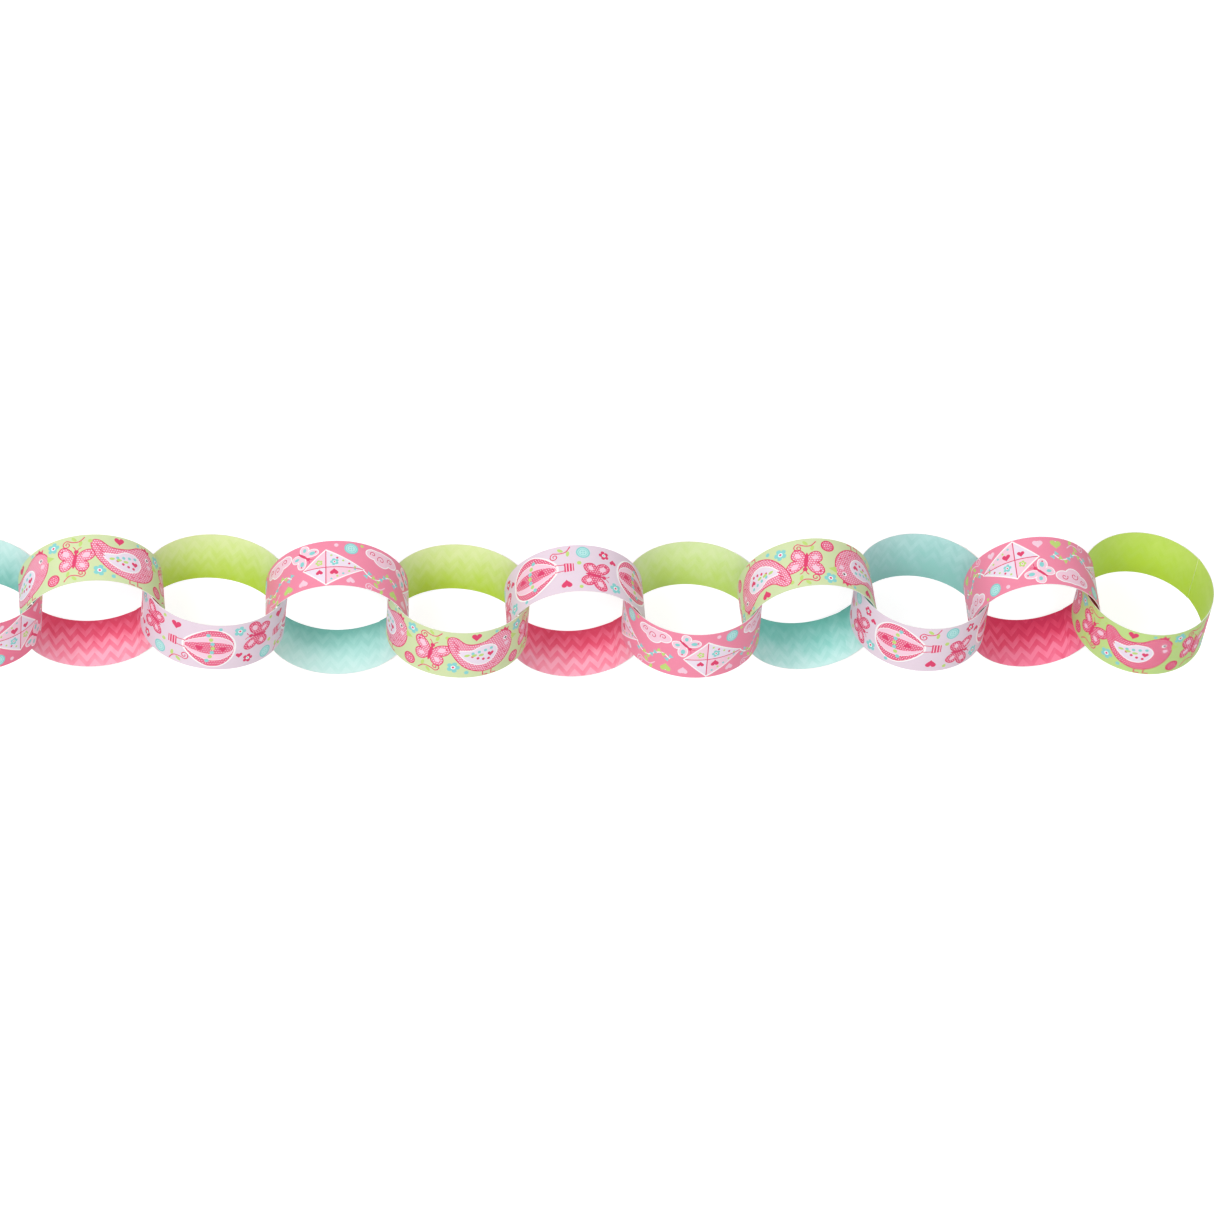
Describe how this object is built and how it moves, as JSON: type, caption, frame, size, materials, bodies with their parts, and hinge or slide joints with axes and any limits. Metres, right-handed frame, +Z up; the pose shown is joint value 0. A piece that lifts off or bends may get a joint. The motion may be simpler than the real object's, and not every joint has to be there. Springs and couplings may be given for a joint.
{
  "type": "paper chain garland",
  "caption": "Party garland of printed paper strips rolled into interlocked glued loops, lying along X with its links leaning to alternate sides.",
  "frame": {"origin": "middle of the garland's footprint, on the surface that it lies on", "axes": "+X along the chain to its right end, +Y across it, +Z up from the surface"},
  "size_m": [0.582, 0.065, 0.0683],
  "materials": {
    "hot_pink_paper": "satin",
    "lime_paper": "satin",
    "lilac_paper": "satin"
  },
  "bodies": {
    "root": {"paper_link_01": "hot_pink_paper", "paper_link_02": "lime_paper", "paper_link_03": "lilac_paper", "paper_link_04": "hot_pink_paper", "paper_link_05": "lime_paper", "paper_link_06": "lilac_paper", "paper_link_07": "hot_pink_paper", "paper_link_08": "lime_paper", "paper_link_09": "lilac_paper", "paper_link_10": "hot_pink_paper", "paper_link_11": "lime_paper"}
  },
  "joints": []
}
